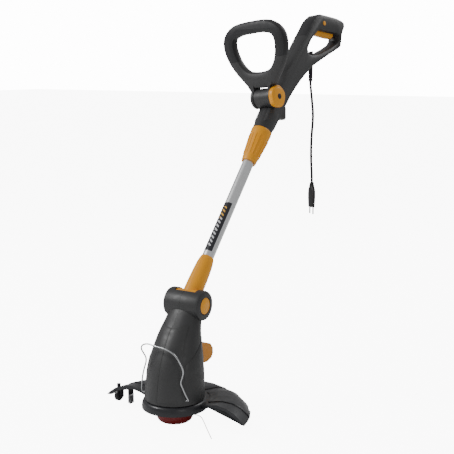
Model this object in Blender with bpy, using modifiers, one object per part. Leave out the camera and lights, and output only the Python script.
"""Corded electric string trimmer with a telescopic tube, a tilting head and two handles.

Lengths are in millimetres and scaled to metres when a mesh is made.  Three working frames are used:
  head frame    origin under the cutting head's spin axis, +Z up, the machine's front toward -Y, its left +X
  shaft frame   origin on the head's tilt axis, +Z up the leaning tube
  handle frame  the shaft frame turned a little about the tube, as the handle stands on it
"""
import math

import bmesh
import bpy
from mathutils import Matrix, Vector

for old in list(bpy.data.objects):
    bpy.data.objects.remove(old, do_unlink=True)

# ---------------------------------------------------------------- driving sizes (mm and degrees)
LEAN = 41.9            # tube's lean from vertical
TWIST = 10.0           # handle turned on the tube
LOOP_TILT = 51.0       # front handle's lean forward of the tube
GAP = 0.3              # fitting gap between neighbours
HINGE = (0.0, 54.2, 238.4)
HEAD_BASE_R = 67.0     # motor housing radius at its foot
HEAD_BASE_Z = 36.0
WALL = 3.0
BARREL_R = 34.0        # tilt barrel on top of the motor housing
BARREL_HALF = 47.0
DRUM_R = BARREL_R - 2.4
DRUM_HALF = 27.6
TUBE_R = 14.0
TUBE_WALL = 1.3
TUBE_LOW = 45.0
TUBE_TOP = 640.0
NECK_TOP = 121.0
COLLAR_LOW = 394.0
COLLAR_TOP = 490.0
BUSH = (500.0, 535.0)
BUSH_WALL = 2.1          # round the tube, outside its fitting gap
COLLET_WALL = 2.9
ROOM_HALF = 16.0       # half width of the rooms inside the rear handle
GUARD_SPAN = 187.0     # guard tip to spin axis
GUARD_REAR = 152.0
CAP_R = 41.0
GUARD_BORE = CAP_R + 9.0  # clears the spool carrier
CAP_LOW = -18.0        # the bump cap's flat underside
GRIP_HALF = 21.0       # half the handle housing's width
GRIP_ROUND = 9.0
KNOB_R = 28.0
KNOB_LOBE = 0.7
PIVOT = (-34.0, 570.0)  # front handle's pivot in the handle frame's side plane
LOOP_HALF = 95.0
LOOP_TOP = 190.0
CORD_R = 3.4
PEDAL_PIN = (46.0, 166.0)
TOOTH_TOP = HINGE[2] - DRUM_R - 0.6  # just clear of the drum, so the head tilts freely
WIRE_PIVOT = (58.0, -36.0, 48.0)
REAR_GRIP = (0.0, 57.0, 906.0)  # middle of the rear hand grip, handle frame

MM = 0.001
PARTS = bpy.data.collections.new("string_trimmer")
TOOLS = bpy.data.collections.new("cutters")
for group in (PARTS, TOOLS):
    bpy.context.scene.collection.children.link(group)

# ---------------------------------------------------------------- materials
LOOKS = {
    "grey_plastic": ((0.060, 0.060, 0.062), 0.0, 0.55),
    "guard_plastic": ((0.050, 0.050, 0.056), 0.0, 0.45),
    "black_soft": ((0.018, 0.018, 0.020), 0.0, 0.7),
    "yellow": ((0.75, 0.42, 0.02), 0.0, 0.4),
    "red": ((0.40, 0.02, 0.02), 0.0, 0.4),
    "aluminium": ((0.78, 0.79, 0.80), 1.0, 0.3),
    "steel": ((0.62, 0.63, 0.65), 1.0, 0.3),
    "copper": ((0.65, 0.28, 0.14), 1.0, 0.35),
    "line": ((0.72, 0.30, 0.12), 0.0, 0.4),
}


def paint(obj, look):
    """Gives the object its own material."""
    colour, metallic, roughness = LOOKS[look]
    mat = bpy.data.materials.new(obj.name + "_material")
    mat.use_nodes = True
    shader = mat.node_tree.nodes["Principled BSDF"]
    shader.inputs["Base Color"].default_value = (*colour, 1.0)
    shader.inputs["Metallic"].default_value = metallic
    shader.inputs["Roughness"].default_value = roughness
    obj.data.materials.append(mat)


# ---------------------------------------------------------------- frames
def frame(name, parent, at, turn=(0.0, 0.0, 0.0)):
    """An empty that carries pieces: at in mm, turn in degrees about X, Y, Z."""
    empty = bpy.data.objects.new(name, None)
    empty.empty_display_size = 0.02
    empty.parent = parent
    empty.location = Vector(at) * MM
    empty.rotation_euler = [math.radians(a) for a in turn]
    PARTS.objects.link(empty)
    return empty


def matrix(at, turn):
    about = [Matrix.Rotation(math.radians(a), 4, axis) for a, axis in zip(turn, "XYZ")]
    return Matrix.Translation(Vector(at)) @ about[2] @ about[1] @ about[0]


HANDLE_MATRIX = matrix(HINGE, (-LEAN, 0, 0)) @ matrix((0, 0, 0), (0, 0, -TWIST))
origin = HANDLE_MATRIX @ Vector(REAR_GRIP)
HEAD = frame("head_frame", None, -origin)
SHAFT = frame("tilt_axis", HEAD, HINGE, (-LEAN, 0, 0))
HANDLE = frame("handle_frame", SHAFT, (0, 0, 0), (0, 0, -TWIST))
LOOP = frame("front_handle_axis", HANDLE, (0, *PIVOT), (LOOP_TILT, 0, 0))
SPIN = frame("spin_axis", HEAD, (0, 0, 0))


# ---------------------------------------------------------------- mesh helpers
def put(name, mesh, parent, look):
    """Links a mesh as a named piece, or as a cutter when look is None."""
    obj = bpy.data.objects.new(name, mesh)
    obj.parent = parent
    if look is None:
        TOOLS.objects.link(obj)
        obj.hide_render = True
        obj.display_type = "WIRE"
    else:
        PARTS.objects.link(obj)
        paint(obj, look)
    return obj


def finish(name, bm):
    bmesh.ops.triangulate(bm, faces=bm.faces)
    bmesh.ops.recalc_face_normals(bm, faces=bm.faces)
    mesh = bpy.data.meshes.new(name)
    bm.to_mesh(mesh)
    bm.free()
    mesh.shade_smooth()
    mesh.set_sharp_from_angle(angle=math.radians(32))
    return mesh


def loft(name, rings, parent, look, closed=False):
    """A closed body through rings of equal length; closed joins the last ring to the first."""
    bm = bmesh.new()
    loops = [[bm.verts.new(Vector(p) * MM) for p in ring] for ring in rings]
    count = len(loops[0])
    pairs = list(zip(loops, loops[1:] + loops[:1])) if closed else list(zip(loops, loops[1:]))
    for low, high in pairs:
        for i in range(count):
            j = (i + 1) % count
            bm.faces.new((low[i], low[j], high[j], high[i]))
    if not closed:
        bm.faces.new(list(reversed(loops[0])))
        bm.faces.new(loops[-1])
    return put(name, finish(name, bm), parent, look)


def lathe(name, profile, parent, look, at=(0, 0, 0), axis="Z", steps=26):
    """Turns a profile of (radius, height) about the axis; it starts and ends on the axis or is a ring."""
    ring = profile[0][0] > 0 or profile[-1][0] > 0
    edges = [(i, i + 1) for i in range(len(profile) - 1)] + ([(len(profile) - 1, 0)] if ring else [])
    mesh = bpy.data.meshes.new(name)
    mesh.from_pydata([(r * MM, 0, z * MM) for r, z in profile], edges, [])
    obj = put(name, mesh, parent, look)
    obj.location = Vector(at) * MM
    if axis == "X":
        obj.rotation_euler = (0, math.radians(90), 0)
    if axis == "Y":
        obj.rotation_euler = (math.radians(-90), 0, 0)
    turn = obj.modifiers.new("Turn", "SCREW")
    turn.steps = turn.render_steps = steps
    turn.use_merge_vertices = True
    turn.merge_threshold = 0.00001
    turn.use_smooth_shade = False
    return obj


def rod(name, radius, low, high, parent, look, at=(0, 0, 0), axis="Z", steps=18):
    """A plain cylinder from low to high along the axis."""
    return lathe(name, [(0, high), (radius, high), (radius, low), (0, low)], parent, look, at, axis, steps)


def tube(name, outer, inner, low, high, parent, look, at=(0, 0, 0), axis="Z", steps=26):
    """A plain ring or sleeve from low to high along the axis."""
    profile = [(outer, high), (outer, low), (inner, low), (inner, high)]
    return lathe(name, profile, parent, look, at, axis, steps)


def box(name, low, high, parent, look):
    """A plain block between two corners."""
    low, high = Vector(low) * MM, Vector(high) * MM
    bm = bmesh.new()
    bmesh.ops.create_cube(bm, size=1.0, matrix=Matrix.Translation((low + high) / 2) @ Matrix.Diagonal((*(high - low), 1)))
    return put(name, finish(name, bm), parent, look)


def inset(points, distance):
    """Moves every side of an anticlockwise outline inward by the distance."""
    moved = []
    for i, here in enumerate(points):
        before, after = Vector(points[i - 1]), Vector(points[(i + 1) % len(points)])
        here = Vector(here)
        a, b = (here - before).normalized(), (after - here).normalized()
        na, nb = Vector((-a.y, a.x)), Vector((-b.y, b.x))
        mid = (na + nb).normalized()
        moved.append(tuple(here + mid * distance / max(0.5, mid.dot(na))))
    return moved


def smooth(points, parts, closed=True):
    """A finer outline through the same points."""
    fine = []
    count = len(points)
    for i in range(count if closed else count - 1):
        p = [Vector(points[(i + k) % count if closed else min(max(i + k, 0), count - 1)]) for k in (-1, 0, 1, 2)]
        for s in range(parts):
            t = s / parts
            fine.append(tuple(0.5 * (
                2 * p[1] + (p[2] - p[0]) * t + (2 * p[0] - 5 * p[1] + 4 * p[2] - p[3]) * t * t
                + (3 * p[1] - p[0] - 3 * p[2] + p[3]) * t ** 3
            )))
    if not closed:
        fine.append(tuple(points[-1]))
    return fine


SIDE = lambda a, b, t: (t, a, b)    # outline in the side plane, thickness along X
FRONT = lambda a, b, t: (a, t, b)   # outline in the front plane, thickness along Y


def slab(name, outline, parent, look, low, high, hole=None, rounding=0.0, steps=3, place=SIDE):
    """A plate of an outline, with an optional window and rounded rims, from low to high thickness."""
    if rounding:
        turns = [k * math.pi / 2 / steps for k in range(steps + 1)]
        levels = [(low + rounding * (1 - math.sin(t)), rounding * (1 - math.cos(t))) for t in reversed(turns)]
        levels += [(high - (t - low), d) for t, d in reversed(levels)]
    else:
        levels = [(low, 0.0), (high, 0.0)]
    bm = bmesh.new()
    caps = [[], []]
    for points, sign in ((outline, 1), (hole, -1)):
        if not points:
            continue
        loops = [[bm.verts.new(Vector(place(*q, t)) * MM) for q in inset(points, d * sign)] for t, d in levels]
        for lower, upper in zip(loops, loops[1:]):
            for i in range(len(points)):
                j = (i + 1) % len(points)
                bm.faces.new((lower[i], lower[j], upper[j], upper[i]))
        for cap, ring in zip(caps, (loops[0], loops[-1])):
            cap += [bm.edges.get((ring[i - 1], ring[i])) for i in range(len(ring))]
    for cap in caps:
        bmesh.ops.triangle_fill(bm, use_beauty=True, use_dissolve=False, edges=cap)
    return put(name, finish(name, bm), parent, look)


def wire(name, path, radius, parent, look, resolution=2, cyclic=False):
    """A round wire along a path, with flat closed ends."""
    curve = bpy.data.curves.new(name, "CURVE")
    curve.dimensions = "3D"
    curve.bevel_depth = radius * MM
    curve.bevel_resolution = resolution
    curve.use_fill_caps = True
    spline = curve.splines.new("POLY")
    spline.points.add(len(path) - 1)
    for point, place in zip(spline.points, path):
        point.co = (*(Vector(place) * MM), 1.0)
    spline.use_cyclic_u = cyclic
    shape = bpy.data.objects.new(name + "_path", curve)
    mesh = bpy.data.meshes.new_from_object(shape)
    bpy.data.objects.remove(shape)
    bm = bmesh.new()
    bm.from_mesh(mesh)
    bmesh.ops.remove_doubles(bm, verts=bm.verts, dist=0.00001)
    return put(name, finish(name, bm), parent, look)


def coil(radius, turns, low, high, per_turn=6):
    """A helix's path about Z."""
    count = int(turns * per_turn)
    return [
        (radius * math.cos(2 * math.pi * i / per_turn), radius * math.sin(2 * math.pi * i / per_turn),
         low + (high - low) * i / count)
        for i in range(count + 1)
    ]


def combine(obj, operation, *others):
    """Booleans in turn.  The rounded rims meet in slivers that the exact solver leaves open, so all use MANIFOLD."""
    for other in others:
        step = obj.modifiers.new(operation.title(), "BOOLEAN")
        step.operation = operation
        step.solver = "MANIFOLD"
        step.object = other


def cut(obj, *others):
    combine(obj, "DIFFERENCE", *others)


def join(obj, *others):
    combine(obj, "UNION", *others)


def keep(obj, *others):
    combine(obj, "INTERSECT", *others)


def ellipse(z, cy, hx, hy, count=24):
    turn = [2 * math.pi * i / count for i in range(count)]
    return [(hx * math.cos(a), cy + hy * math.sin(a), z) for a in turn]


LEFT = box("left_half", (GAP / 2, -400, -100), (200, 400, 1100), HEAD, None)
RIGHT = box("right_half", (-200, -400, -100), (-GAP / 2, 400, 1100), HEAD, None)
LEFT_SHAFT = box("left_half_shaft", (GAP / 2, -200, -100), (200, 300, 1100), SHAFT, None)
RIGHT_SHAFT = box("right_half_shaft", (-200, -200, -100), (-GAP / 2, 300, 1100), SHAFT, None)
LEFT_HANDLE = box("left_half_handle", (GAP / 2, -200, 300), (200, 300, 1100), HANDLE, None)
RIGHT_HANDLE = box("right_half_handle", (-200, -200, 300), (-GAP / 2, 300, 1100), HANDLE, None)

# ---------------------------------------------------------------- motor housing
BODY = [  # height, centre, half width, half depth
    (HEAD_BASE_Z, 0.0, HEAD_BASE_R, HEAD_BASE_R), (46, 0.2, HEAD_BASE_R + 0.3, HEAD_BASE_R + 0.3),
    (62, 1.0, 66.8, 66.5), (80, 2.5, 65.8, 65.3), (98, 4.3, 64.5, 63.5), (113, 6, 62.5, 61),
    (128, 8, 60, 58), (144, 11.5, 56.5, 54), (160, 15.5, 53, 50), (175, 20.5, 50, 46),
    (190, 27, 46.5, 41.5), (206, 36, 43, 36), (220, 44, 41, 32), (236, 52, 40, 28),
]
cavity = loft("housing_cavity", [ellipse(z, c, a - WALL, b - WALL) for z, c, a, b in
                                 [(HEAD_BASE_Z - 5, 0, HEAD_BASE_R, HEAD_BASE_R)] + BODY[1:11]], HEAD, None)
barrel = lathe("barrel_body", [(0, BARREL_HALF), (28, BARREL_HALF), (32.5, BARREL_HALF - 2), (BARREL_R, BARREL_HALF - 6),
                               (BARREL_R, 6 - BARREL_HALF), (32.5, 2 - BARREL_HALF), (28, -BARREL_HALF), (0, -BARREL_HALF)],
               HEAD, None, HINGE, "X", 28)
drum_room = rod("drum_room", DRUM_R + 0.4, -DRUM_HALF - 0.7, DRUM_HALF + 0.7, HEAD, None, HINGE, "X", 28)
axle_room = lathe("axle_room", [(0, 60), (19.0 + GAP, 60), (19.0 + GAP, BARREL_HALF - 3.3), (6.3, BARREL_HALF - 3.3),
                                (6.3, 3.3 - BARREL_HALF), (19.0 + GAP, 3.3 - BARREL_HALF), (19.0 + GAP, -60), (0, -60)],
                  HEAD, None, HINGE, "X", 28)
sector = [(HINGE[1], HINGE[2])] + [
    (HINGE[1] + 70 * math.sin(math.radians(a)), HINGE[2] + 70 * math.cos(math.radians(a)))
    for a in range(119, -24, -20)
]
neck_slot = slab("neck_slot", sector, HEAD, None, -DRUM_HALF - GAP, DRUM_HALF + GAP)
tooth_room = box("tooth_room", (-5, 54, 176), (5, 69.5, 212), HEAD, None)
lever_room = box("lever_room", (-12.7, 48, 140), (12.7, 63.6, 178), HEAD, None)
pedal_room = box("pedal_room", (-21, 50, 90), (21, 90, 148), HEAD, None)
pin_room = rod("pedal_pin_room", 2.8, -37.3, 37.3, HEAD, None, (0, *PEDAL_PIN), "X")
wire_room = rod("wire_room", 2.2, -80, 80, HEAD, None, (0, *WIRE_PIVOT[1:]), "X", 12)
vents = [box("vent_%d_%d" % (i, k), (min(k * 27, k * 46), 20, 56.3 + 8 * i), (max(k * 27, k * 46), 90, 59.8 + 8 * i),
             HEAD, None) for i in range(4) for k in (1, -1)]

for side, half in (("left", LEFT), ("right", RIGHT)):
    housing = loft("motor_housing_" + side, [ellipse(*row) for row in BODY], HEAD, "grey_plastic")
    join(housing, barrel)
    cut(housing, cavity, drum_room, neck_slot, axle_room, tooth_room, lever_room, pedal_room, pin_room,
        wire_room, *vents)
    keep(housing, half)

rod("hinge_axle", 6.0, 3.7 - BARREL_HALF, BARREL_HALF - 3.7, HEAD, "steel", HINGE, "X")
for side, k in (("left", 1), ("right", -1)):
    disc = [(0, 3.3), (17.5, 3.3), (19.0, 2.3), (19.0, 0), (0, 0)]
    disc = disc if k > 0 else [(r, -z) for r, z in reversed(disc)]
    lathe("hinge_cap_" + side, disc, HEAD, "yellow", (k * (BARREL_HALF - 3.0), *HINGE[1:]), "X", 28)

# ---------------------------------------------------------------- motor
base = lathe("base_plate", [(14, 41), (63.4, 41), (63.4, 37), (14, 37)], HEAD, "grey_plastic", steps=26)
lathe("bearing_plate_lower", [(11.3, 67), (61.0, 67), (61.0, 64), (11.3, 64)], HEAD, "grey_plastic", steps=26)
tube("bearing_lower", 11, 4.3, 62.5, 69, HEAD, "steel", steps=24)
tube("motor_stator", 40, 27, 80, 125, HEAD, "steel", steps=36)
lathe("motor_rotor", [(0, 150), (4, 150), (4, 139.5), (11.5, 139.5), (11.5, 127.5), (7, 127.5), (7, 124),
                      (26, 123), (26, 82), (7, 80), (7, 70), (4, 70), (4, 12), (0, 12)], SPIN, "copper", steps=16)
for side, k in (("left", 1), ("right", -1)):
    box("carbon_brush_" + side, (min(k * 12, k * 28), -3.5, 129), (max(k * 12, k * 28), 3.5, 138), HEAD, "black_soft")
tube("bearing_upper", 11, 4.3, 141.5, 148.5, HEAD, "steel", steps=24)
lathe("bearing_plate_upper", [(11.3, 148), (34, 148), (34, 144), (11.3, 144)], HEAD, "grey_plastic", steps=32)
BLADES = 9
fan_outline = []
for i in range(BLADES):
    for r, a in ((20, 0.0), (45, 0.10), (45, 0.28), (20, 0.42)):
        turn = 2 * math.pi * (i + a) / BLADES
        fan_outline.append((r * math.cos(turn), r * math.sin(turn)))
fan = slab("cooling_fan", fan_outline, SPIN, "black_soft", 46, 58, place=lambda a, b, t: (a, b, t))
fan_bore = rod("fan_bore", 4.3, 40, 62, SPIN, None)
cut(fan, fan_bore)

# ---------------------------------------------------------------- tilt pedal
PEDAL = frame("pedal_axis", HEAD, (0, *PEDAL_PIN))
py, pz = PEDAL_PIN
pedal_outline = [(a - py, b - pz) for a, b in [
    (41, 160), (47, 160), (52, 156), (57, 132), (62, 112), (69, 108), (72, 100), (82, 94), (104, 91),
    (122, 96), (129, 107), (128, 120), (118, 132), (98, 139), (76, 141), (68, 134), (62, 143), (61, 160),
    (61.5, 190), (61.8, TOOTH_TOP), (57.8, TOOTH_TOP), (56.8, 190), (54, 172), (47, 172.5), (41, 172)]]
pedal = slab("tilt_pedal", pedal_outline, PEDAL, "yellow", -20, 20, rounding=1.5, steps=1)
narrow = [box("pedal_trim_" + s, (min(k * 12, k * 30), -30, -56), (max(k * 12, k * 30), 19, 60), PEDAL, None)
          for s, k in (("left", 1), ("right", -1))]
tip = [box("pedal_tip_" + s, (min(k * 4, k * 30), -30, 10), (max(k * 4, k * 30), 40, 60), PEDAL, None)
       for s, k in (("left", 1), ("right", -1))]
cut(pedal, *narrow, *tip, rod("pedal_bore", 2.8, -40, 40, PEDAL, None, (0, 0, 0), "X"))
rod("pedal_pin", 2.5, -37, 37, HEAD, "steel", (0, *PEDAL_PIN), "X")
wire("pedal_spring", [(z, x, y) for x, y, z in coil(4.5, 4, 14, 22)], 0.7, PEDAL, "steel", 0)

# ---------------------------------------------------------------- neck (two halves) and its drum
NECK = [(z, 0, TUBE_R + a, TUBE_R + b) for z, a, b in (  # height, walls at the sides and at the front and back
    (10, 6, 6), (30, 7.5, 8.5), (48, 7.3, 8.3), (66, 6.8, 7.8), (85, 6, 7), (102, 4.8, 5.8), (111, 3.6, 4.6),
    (118, 2.2, 3), (NECK_TOP, 1.4, 1.8))]
drum = tube("drum_body", DRUM_R, 6.3, -DRUM_HALF, DRUM_HALF, SHAFT, None, (0, 0, 0), "X", 28)
tube_bore = rod("neck_tube_bore", TUBE_R + GAP, TUBE_LOW - GAP, 200, SHAFT, None)
comb = []
for stop in (-30, -15, 0, 15):  # one notch for each latched tilt
    middle = LEAN + 10.3 + stop
    comb += [(middle + a, r) for a, r in ((-6.0, DRUM_R + 0.8), (-5.3, DRUM_R - 3.2), (5.3, DRUM_R - 3.2), (6.0, DRUM_R + 0.8))]
comb = [(r * math.sin(math.radians(a)), -r * math.cos(math.radians(a))) for a, r in comb]
comb += [(1.3 * y, 1.3 * z) for y, z in reversed(comb)]
notches = slab("latch_notches", comb, SHAFT, None, -4.5, 4.5)
SCREW_SIDE = frame("neck_screw_side", SHAFT, (0, 0, 0), (0, 0, 22))
screws = [("neck_screw_upper", 101, TUBE_R + 2.9), ("neck_screw_lower", 54, TUBE_R + 4.6)]  # name, height, recess floor
for side, half in (("left", LEFT_SHAFT), ("right", RIGHT_SHAFT)):
    neck = loft("neck_" + side, [ellipse(*row, 20) for row in NECK], SHAFT, "yellow")
    join(neck, drum)
    cut(neck, tube_bore, notches)
    keep(neck, half)
    if side == "left":
        for name, w, floor in screws:
            cut(neck, rod(name + "_hole", 1.5, 12, 30, SCREW_SIDE, None, (0, 0, w), "X", 12),
                rod(name + "_recess", 3.3, floor, 30, SCREW_SIDE, None, (0, 0, w), "X", 16))
for name, w, floor in screws:
    lathe(name, [(0, floor + 1.5), (2.7, floor + 1.5), (2.7, floor + 0.2), (1.2, floor + 0.2), (1.2, TUBE_R + 0.3),
                 (0, TUBE_R + 0.3)], SCREW_SIDE, "steel", (0, 0, w), "X", 16)

# ---------------------------------------------------------------- tube, bush and lock collar
tube("shaft_tube", TUBE_R, TUBE_R - TUBE_WALL, TUBE_LOW, TUBE_TOP, SHAFT, "aluminium", steps=32)
BUSH_R = TUBE_R + GAP + BUSH_WALL
COLLET_R = TUBE_R + GAP + COLLET_WALL
tube("tube_bush", BUSH_R, TUBE_R + GAP, *BUSH, HANDLE, "black_soft")
tube("clamp_collet", COLLET_R, TUBE_R + GAP, 412, 449.5, HANDLE, "black_soft")
SOCKET_R = TUBE_R + 5.8  # the handle's neck where the collar covers it
lathe("lock_collar", [(TUBE_R + 3.6, COLLAR_LOW), (TUBE_R + 2.6, COLLAR_LOW + 0.5), (TUBE_R + GAP, COLLAR_LOW + 2),
                      (TUBE_R + GAP, 410), (COLLET_R + GAP, 411.7), (COLLET_R + GAP, 450), (SOCKET_R + 0.4, 450),
                      (SOCKET_R + 0.4, COLLAR_TOP), (TUBE_R + 11.2, COLLAR_TOP), (TUBE_R + 12, 487),
                      (TUBE_R + 11.6, 478), (TUBE_R + 8.2, 440), (TUBE_R + 5.3, 405), (TUBE_R + 4.4, 397)],
      HANDLE, "yellow", steps=26)

# ---------------------------------------------------------------- rear handle housing
HANDLE_OUTLINE = smooth([
    (-22, 506), (22, 506), (24, 540), (26, 580), (29, 623), (34, 653),
    (40, 683.5), (48, 712), (55, 734), (63, 756), (75, 779), (92.6, 812), (111, 845), (128, 876), (133, 888),
    (126, 904), (119, 923), (117, 946), (109, 955), (95, 951.5), (72.5, 939.5), (40.5, 917), (14, 897.5),
    (3, 885), (-4, 866), (-7, 850), (-8, 829), (-10.5, 800), (-12.6, 763), (-14.7, 727), (-17.5, 692),
    (-21.4, 672), (-22, 640), (-22, 580), (-22, 540)], 1)
WINDOW = smooth([
    (20, 777), (29, 771.5), (39, 776), (50, 786), (66, 804), (94, 850), (110, 880), (113.5, 896), (108, 905.5),
    (97, 902), (62, 877), (29, 853), (23.5, 829), (18.5, 808), (18, 789)], 1)
BAR_START, BAR_ALONG = Vector((27, 852)), Vector((0.814, 0.581))
BAR_UP = Vector((-0.581, 0.814))


def bar(a, b):
    """A place in the side plane measured along and above the rear grip's underside."""
    return tuple(BAR_START + BAR_ALONG * a + BAR_UP * b)


neck_round = lathe("handle_neck", [(0, 604), (TUBE_R + 4, 596), (TUBE_R + 6.6, 572), (TUBE_R + 10.6, 543),
                                   (TUBE_R + 11, 536), (TUBE_R + 11, COLLAR_TOP + GAP), (SOCKET_R, COLLAR_TOP + GAP),
                                   (SOCKET_R, 452), (0, 452)], HANDLE, None, steps=28)
lug = slab("rear_lug", [(10, 548), (34, 555.5), (44, 561), (46, 567.5), (31, 590), (10, 600)], HANDLE, None, -17, 17,
           rounding=3, steps=1)
pivot_boss = rod("pivot_boss", 24, 0.5 - GRIP_HALF, GRIP_HALF - 0.5, HANDLE, None, (0, *PIVOT), "X", 28)
CHEEK_R = 26.0
cheek_rooms = [rod("cheek_room_" + side, CHEEK_R + GAP, min(k * (GRIP_HALF + 0.1), k * 40), max(k * (GRIP_HALF + 0.1), k * 40),
                   HANDLE, None, (0, *PIVOT), "X", 32) for side, k in (("left", 1), ("right", -1))]
shaft_room = rod("handle_tube_bore", TUBE_R + 0.5, 440, 655, HANDLE, None, steps=22)
bush_room = rod("bush_room", BUSH_R + GAP, BUSH[0] - GAP, BUSH[1] + GAP, HANDLE, None, steps=22)
bolt_room = rod("bolt_room", 4.3, -40, 40, HANDLE, None, (0, *PIVOT), "X", 20)
wiring_room = slab("wiring_room", [(-11, 648), (22, 648), (32, 700), (44, 740), (-6, 740)], HANDLE, None,
                   -ROOM_HALF, ROOM_HALF)
switch_room = slab("switch_room", [bar(15, 9), bar(92, 9), bar(92, 31), bar(15, 31)], HANDLE, None,
                   -ROOM_HALF, ROOM_HALF)
trigger_slot = slab("trigger_slot", [bar(-7, -10), bar(88, -8), bar(88, 30), bar(20, 30), bar(-6.5, 18)],
                    HANDLE, None, -8.3, 8.3)
trigger_pin_room = rod("trigger_pin_room", 2.3, -13.3, 13.3, HANDLE, None, (0, *bar(2, 2)), "X", 16)
button_room = rod("button_room", 6.3, 10, GRIP_HALF + 9, HANDLE, None, (0, *bar(23.5, 20.4)), "X", 22)
CORD_EXIT = (12.4, 617.6)
relief_room = lathe("relief_room", [(0, 784), (8.3, 784), (8.3, 775.7), (CORD_R + 2.9, 775.7), (CORD_R + 2.9, 700), (0, 700)],
                    HEAD, None, (*CORD_EXIT, 0), steps=20)
pad_out = inset(HANDLE_OUTLINE, -25.0)
first, last = 18, 27


def pad_strip(name, inner, grow):
    """The strip under the soft pad that runs over the front and top of the rear handle."""
    line = inset(HANDLE_OUTLINE, inner)[first:last + 1]
    outer = pad_out[first:last + 1]
    for pts in (line, outer):
        pts[0] = tuple(Vector(pts[0]) + (Vector(pts[0]) - Vector(pts[1])).normalized() * grow)
        pts[-1] = tuple(Vector(pts[-1]) + (Vector(pts[-1]) - Vector(pts[-2])).normalized() * grow)
    return slab(name, outer + list(reversed(line)), HANDLE, None, -60, 60)


pad_room = pad_strip("pad_room", 6.0 + GAP / 2, GAP)
pad_keep = pad_strip("pad_keep", 6.0 - GAP / 2, 0.0)
HANDLE_SCREWS = [("handle_screw_upper", (122, 893)), ("handle_screw_lower", (4, 768))]
for side, half in (("left", LEFT_HANDLE), ("right", RIGHT_HANDLE)):
    shell = slab("handle_housing_" + side, HANDLE_OUTLINE, HANDLE, "grey_plastic", -GRIP_HALF, GRIP_HALF,
                 hole=WINDOW, rounding=GRIP_ROUND, steps=2)
    join(shell, neck_round, pivot_boss, lug)
    keep(shell, half)
    cut(shell, shaft_room, bush_room, bolt_room, wiring_room, switch_room, trigger_slot, trigger_pin_room,
        relief_room, pad_room, *cheek_rooms)
    if side == "left":
        cut(shell, button_room)
    for name, place in HANDLE_SCREWS:
        cut(shell, rod("%s_hole_%s" % (name, side), 1.8, -30, 12.4, HANDLE, None, (0, *place), "X", 12))
        if side == "right":
            cut(shell, rod(name + "_recess", 3.6, -30, -12, HANDLE, None, (0, *place), "X", 16))
for name, place in HANDLE_SCREWS:
    lathe(name, [(0, 12), (1.5, 12), (1.5, -12.3), (3.2, -12.3), (3.2, -14.8), (0, -14.8)], HANDLE, "steel",
          (0, *place), "X", 16)
soft = slab("grip_pad", HANDLE_OUTLINE, HANDLE, "black_soft", -GRIP_HALF, GRIP_HALF, rounding=GRIP_ROUND, steps=2)
keep(soft, pad_keep)

# ---------------------------------------------------------------- trigger, switch and lock button
TRIGGER = frame("trigger_axis", HANDLE, (0, *bar(2, 2)))
tx, tz = bar(2, 2)
trigger_outline = [(a - tx, b - tz) for a, b in [bar(*q) for q in (
    (-4.5, -4), (0, -11), (20, -12.5), (60, -13.5), (76, -12.5), (84, -7), (86, 2), (86, 8), (30, 8), (8, 8),
    (-3, 6))]]
trigger = slab("trigger", trigger_outline, TRIGGER, "yellow", -7.7, 7.7, rounding=2.0, steps=1)
cut(trigger, rod("trigger_bore", 2.3, -20, 20, TRIGGER, None, (0, 0, 0), "X", 16))
rod("trigger_pin", 2.0, -13, 13, HANDLE, "steel", (0, *bar(2, 2)), "X", 16)
slab("power_switch", [bar(45, 18), bar(74, 18), bar(74, 30), bar(45, 30)], HANDLE, "black_soft", -9, 9)
spring_seat = frame("trigger_spring_seat", HANDLE, (0, *bar(60, 0)), (math.degrees(math.atan2(0.581, 0.814)), 0, 0))
wire("trigger_spring", coil(3.6, 4, 9.1, 17.0), 0.6, spring_seat, "steel", 0)
lathe("lock_button", [(0, GRIP_HALF + 1.6), (5, GRIP_HALF + 1.6), (6, GRIP_HALF + 0.6), (6, ROOM_HALF - GAP),
                      (7.6, ROOM_HALF - GAP), (7.6, ROOM_HALF - 5), (0, ROOM_HALF - 5)], HANDLE, "yellow",
      (0, *bar(23.5, 20.4)), "X", 24)
slab("cord_hook", [(50.5, 787.3), (56.0, 793.4), (52.5, 800.5), (49, 799.5), (49.5, 792.5), (46.5, 789.4)],
     HANDLE, "grey_plastic", -6, 6)

# ---------------------------------------------------------------- front handle and its knob
LOOP_SIDE = [(30, 189.5), (58, 185), (78, 174), (91, 157), (95, 140), (94, 122), (89, 103), (82, 87), (72, 70),
             (61, 55), (51, 43), (42, 32)]
LOOP_SHAPE = smooth([(-x, s) for x, s in LOOP_SIDE] + [(-22, 25.8), (22, 25.8)] + list(reversed(LOOP_SIDE))
                    + [(0, LOOP_TOP)], 2)
HOLE_SIDE = [(30, 158.5), (52, 153), (60, 144), (61.5, 130), (58, 110), (51, 92), (40, 77), (26, 68)]
HOLE_SHAPE = smooth([(-x, s) for x, s in HOLE_SIDE] + [(0, 65)] + list(reversed(HOLE_SIDE)) + [(0, 159)], 2)
loop_args = {"low": -14, "high": 14, "rounding": 11, "steps": 2, "place": FRONT}
handle = slab("front_handle", LOOP_SHAPE, LOOP, "grey_plastic", hole=HOLE_SHAPE, **loop_args)
SPLIT = 98.0
loop_top = box("loop_top", (-150, -40, SPLIT), (150, 40, 260), LOOP, None)
loop_core = slab("loop_core", inset(LOOP_SHAPE, 3.2), LOOP, None, -10.8, 10.8, hole=inset(HOLE_SHAPE, -3.2),
                 rounding=8, steps=2, place=FRONT)
knob_x = GRIP_HALF + 7.6
cheeks = []
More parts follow.
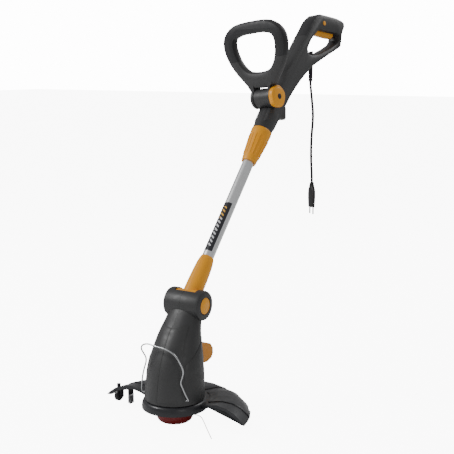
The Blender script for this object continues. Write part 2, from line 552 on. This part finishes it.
for side, k in (("left", 1), ("right", -1)):
    x0, x1 = sorted((k * (GRIP_HALF + GAP), k * (GRIP_HALF + 7.3)))
    cheeks.append(rod("cheek_" + side, CHEEK_R, x0, x1, LOOP, None, (0, 0, 0), "X", 32))
    flare = [(GRIP_HALF + 7.3, KNOB_R + 1), (37, 35)] if k > 0 else [(31, 20), (38, 33)]
    arm = [(GRIP_HALF + GAP, 8), (GRIP_HALF + 7.3, 8), *flare, (38, 46), (GRIP_HALF + GAP, 46)]
    arm = arm if k > 0 else [(-x, z) for x, z in reversed(arm)]
    cheeks.append(slab("cheek_arm_" + side, arm, LOOP, None, -13.5, 13.5, place=FRONT))
cut(handle, loop_top)
join(handle, loop_core, *cheeks)
cut(handle, rod("cheek_bore", 4.3, -50, 50, LOOP, None, (0, 0, 0), "X", 20),
    rod("knob_room", KNOB_R + 0.7, knob_x - 0.2, knob_x + 20, LOOP, None, (0, 0, 0), "X", 40))
grip = slab("front_grip", LOOP_SHAPE, LOOP, "black_soft", hole=HOLE_SHAPE, **loop_args)
keep(grip, box("loop_top_keep", (-150, -40, SPLIT + GAP), (150, 40, 260), LOOP, None))
cut(grip, slab("loop_core_room", inset(LOOP_SHAPE, 2.9), LOOP, None, -11.1, 11.1, hole=inset(HOLE_SHAPE, -2.9),
               rounding=8, steps=2, place=FRONT))
lobes = [(KNOB_R + KNOB_LOBE * (math.cos(5 * a) - 1)) * Vector((math.cos(a), math.sin(a)))
         for a in (2 * math.pi * i / 40 for i in range(40))]
knob = slab("front_knob", lobes, LOOP, "yellow", knob_x, knob_x + 13, rounding=3, steps=2)
cut(knob, lathe("knob_bore", [(0, knob_x + 16.4), (7, knob_x + 16.4), (5.5, knob_x + 8.4), (4.3, knob_x + 8.3),
                        (4.3, knob_x - 8.6), (0, knob_x - 8.6)], LOOP, None,
                (0, 0, 0), "X", 20))
bolt_low, bolt_high = -GRIP_HALF - 7.7, knob_x + 6.4
lathe("pivot_bolt", [(0, bolt_high), (4, bolt_high), (4, bolt_low), (7.5, bolt_low), (7.5, bolt_low - 4.3),
                     (0, bolt_low - 4.3)], LOOP, "steel", (0, 0, 0), "X", 20)

# ---------------------------------------------------------------- cord and plug
lathe("strain_relief", [(8, 783.5), (8, 776), (CORD_R + 2.6, 776), (CORD_R + 2.6, 762), (CORD_R + 2, 735), (CORD_R + 1.8, 722), (CORD_R + GAP, 722),
                        (CORD_R + GAP, 783.5)], HEAD, "black_soft", (*CORD_EXIT, 0), steps=20)
CORD_ROUTE = [(*CORD_EXIT, 782), (*CORD_EXIT, 760), (*CORD_EXIT, 740), (12.5, 617.7, 716), (14.4, 618.8, 694),
              (16.8, 620.3, 668), (19.0, 621.6, 640), (18.9, 621.5, 614), (17.4, 620.6, 588), (16.4, 620.0, 560),
              (16.3, 619.9, 534), (16.9, 620.3, 505), (18.2, 621.2, 480), (19.0, 621.7, 452)]
wire("supply_cord", CORD_ROUTE[:3] + smooth(CORD_ROUTE[3:], 2, closed=False), CORD_R, HEAD, "black_soft", 2)
PLUG = frame("plug_frame", HEAD, (19.0, 621.7, 0), (0, 0, -36))
plug = loft("plug", [ellipse(z, 0, a, b, 24) for z, a, b in (
    (453, 5.2, 5.2), (447, 6.0, 5.6), (440, 11.5, 6.4), (433, 16.2, 6.9), (422, 17.8, 7.0), (408, 17.4, 7.0),
    (396, 15.6, 6.9), (386, 14.2, 6.8))], PLUG, "black_soft")
cut(plug, rod("plug_cord_bore", CORD_R + GAP, 451.7, 460, PLUG, None, steps=16))
for side, k in (("left", 1), ("right", -1)):
    cut(plug, rod("plug_pin_room_" + side, 2.3, 380, 393.3, PLUG, None, (k * 9.5, 0, 0), steps=12))
    rod("plug_pin_" + side, 2.0, 367, 393, PLUG, "steel", (k * 9.5, 0, 0), steps=12)

# ---------------------------------------------------------------- guard
FRONT_EDGE = [(GUARD_BORE, 34.5), (60, 34.5), (70, 31), (78, 30), (95, 36), (115, 40), (140, 37.5), (162, 29), (179, 17), (GUARD_SPAN, 9)]
REAR_EDGE = [(GUARD_BORE, 34.5), (60, 34.5), (70, 34.0), (80, 34), (98, 34), (116, 33), (130, 31), (141, 25), (148, 15), (GUARD_REAR, 6)]
COLLAR = [(GUARD_BORE, 34.5), (60, 34.5), (68, 34.0), (70.5, 32), (72, 29), (72.8, 26), (73.4, 23), (73.8, 20), (74, 18), (74, 15)]


def guard_ring(turn, top, thick):
    """One radial slice of the guard: its upper line and the same line lowered by the thickness."""
    under = [(r - (2.6 if i > 6 else 0.0) - (1.2 if i > 3 else 0.0), z - thick) for i, (r, z) in enumerate(top)]
    under[-1] = (top[-1][0] - 3.0, top[-1][1])
    return [(r * math.cos(turn), r * math.sin(turn), z) for r, z in top + list(reversed(under))]


def blend(a, b, t):
    return [(p[0] + (q[0] - p[0]) * t, p[1] + (q[1] - p[1]) * t) for p, q in zip(a, b)]


wing_slices = []
for degrees in (-3, 0, 6, 14, 24, 36, 50, 66, 82, 98, 114, 130, 144, 156, 166, 174, 180, 183):
    away = min(abs(degrees + 3), abs(183 - degrees)) / 93.0
    wing_slices.append(guard_ring(math.radians(degrees), blend(FRONT_EDGE, REAR_EDGE, min(1.0, away * 1.35) ** 0.8),
                                  7.0 if away < 0.04 else 3.0))
wings = loft("guard_wings", wing_slices, HEAD, None)
guard = loft("guard", [guard_ring(2 * math.pi * i / 32, COLLAR, 3.0) for i in range(32)], HEAD, "guard_plastic",
             closed=True)
join(guard, wings)
ROLLER = (-158.5, 0.0, 10.0)
for name, low, high in (("roller_arm_in", (-152.2, -5, 5), (-149.7, 7, 31)), ("roller_arm_out", (-167.4, -5, 5), (-164.9, 7, 24))):
    join(guard, box(name, low, high, HEAD, None))
join(guard, box("blade_fin", (-133.5, 1, -6), (-130.5, 19, 34), HEAD, None))
join(guard, rod("tip_knob", 4.5, 18, 34.5, HEAD, None, (-163, 5, 0), steps=16))
cut(guard, rod("roller_room", 15.5, -5.8, 5.8, HEAD, None, ROLLER, "X", 24),
    rod("roller_axle_room", 2.3, -20, 20, HEAD, None, ROLLER, "X", 16))
GUARD_SCREWS = [((GUARD_BORE + 4) * math.cos(math.radians(a)), (GUARD_BORE + 4) * math.sin(math.radians(a)))
                for a in (90, 270)]
for i, (x, y) in enumerate(GUARD_SCREWS):
    room = rod("guard_screw_room_%d" % i, 1.9, 20, 60, HEAD, None, (x, y, 0), steps=12)
    cut(guard, room)
    cut(base, room)
    lathe("guard_screw_%d" % (i + 1), [(0, 43), (1.6, 43), (1.6, 31.1), (3.4, 31.1), (3.4, 28.5), (0, 28.5)], HEAD,
          "steel", (x, y, 0), steps=16)
box("line_cutter_blade", (-130.2, 2, -9), (-129.0, 18, 14), HEAD, "steel")
ROLL = frame("roller_axis", HEAD, ROLLER)
lathe("edge_roller", [(2.5, 5), (11, 5), (14, 3.5), (14, -3.5), (11, -5), (2.5, -5)], ROLL, "black_soft", (0, 0, 0), "X", 24)
rod("roller_axle", 2.0, -8.7, 8.7, HEAD, "steel", ROLLER, "X", 16)

# ---------------------------------------------------------------- wire guard
WIRE_AXIS = frame("wire_guard_axis", HEAD, (0, *WIRE_PIVOT[1:]))
wire_path = [(-53.0, 0, 0), (-61.5, 0, 0), (-61.5, -3, 6), (-58, -7, 20), (-53.5, -11, 38), (-46, -14, 60),
             (-39, -16, 80), (-39.5, -17, 88), (-46, -17, 97), (-50, -18, 105), (-48, -18.5, 112), (-40, -19, 117),
             (-31, -19, 119), (-13.5, -20, 117.5), (3, -20, 116.5), (18, -20, 114.5), (35, -20, 109), (45, -19.5, 101),
             (53, -19, 90), (59, -17, 76), (59, -15.5, 66), (55.5, -14, 56), (50.5, -12, 42), (53, -9, 30),
             (57, -5.5, 17), (61.5, -2.5, 5), (61.5, 0, 0), (53.0, 0, 0)]
wire("wire_guard", wire_path, 1.75, WIRE_AXIS, "steel", 2)

# ---------------------------------------------------------------- cutting head
lathe("spool_carrier", [(4.3, 35), (9, 35), (9, 30), (CAP_R + 1.5, 30), (CAP_R + 3, 28.5), (CAP_R + 3, 9),
                        (CAP_R + 0.6, 9), (CAP_R + 0.6, 26.5),
                        (9, 26.5), (9, 16), (4.3, 16)], SPIN, "black_soft", steps=28)
cap = lathe("bump_cap", [(0, CAP_LOW + 2.2), (CAP_R - 13.5, CAP_LOW + 2.2), (CAP_R - 8, -13.4), (CAP_R - 4.2, -8.4),
                         (CAP_R - 2.4, -3), (CAP_R - 2.2, 20), (CAP_R, 20), (CAP_R, -3.5), (CAP_R - 0.6, CAP_LOW + 9),
                         (CAP_R - 3, CAP_LOW + 4.4), (CAP_R - 7, CAP_LOW + 1.2), (CAP_R - 12.5, CAP_LOW), (0, CAP_LOW)],
            SPIN, "red", steps=28)
lathe("line_spool", [(10, 14), (20, 14), (20, 11.5), (CAP_R - 4.5, 11.5), (CAP_R - 4.5, 9.8), (20, 9.8), (20, -5.6), (CAP_R - 9, -5.6),
                     (CAP_R - 9, -7.3), (20, -7.3), (10, -7.3)], SPIN, "black_soft", steps=22)
lathe("line_pack", [(20.3, 9.4), (30, 9.4), (31, 8), (31, -3.8), (30, -5.2), (20.3, -5.2)], SPIN, "line", steps=22)
wire("spool_spring", coil(14, 4, 15.2, 25.4), 0.8, SPIN, "steel", 0)
EYELET = (0, 3, 2.5)
EYELET_R = 3.4
cut(cap, rod("eyelet_room", EYELET_R + GAP, CAP_R - 11, CAP_R + 9, SPIN, None, EYELET, "X", 16))
tube("line_eyelet", EYELET_R, 1.6, CAP_R - 2.8, CAP_R + 0.2, SPIN, "steel", EYELET, "X", steps=16)
LINE_ROUTE = [(34.5, 3, 2.5), (40, 3, 2.5), (46, 3, 2.8), (66, 1, 3.2), (86, -14, 0.5), (104, -30, -5), (120, -44, -10),
              (134, -56, -14.5)]
wire("cutting_line", smooth(LINE_ROUTE, 2, closed=False), 0.9, SPIN, "line", 1)
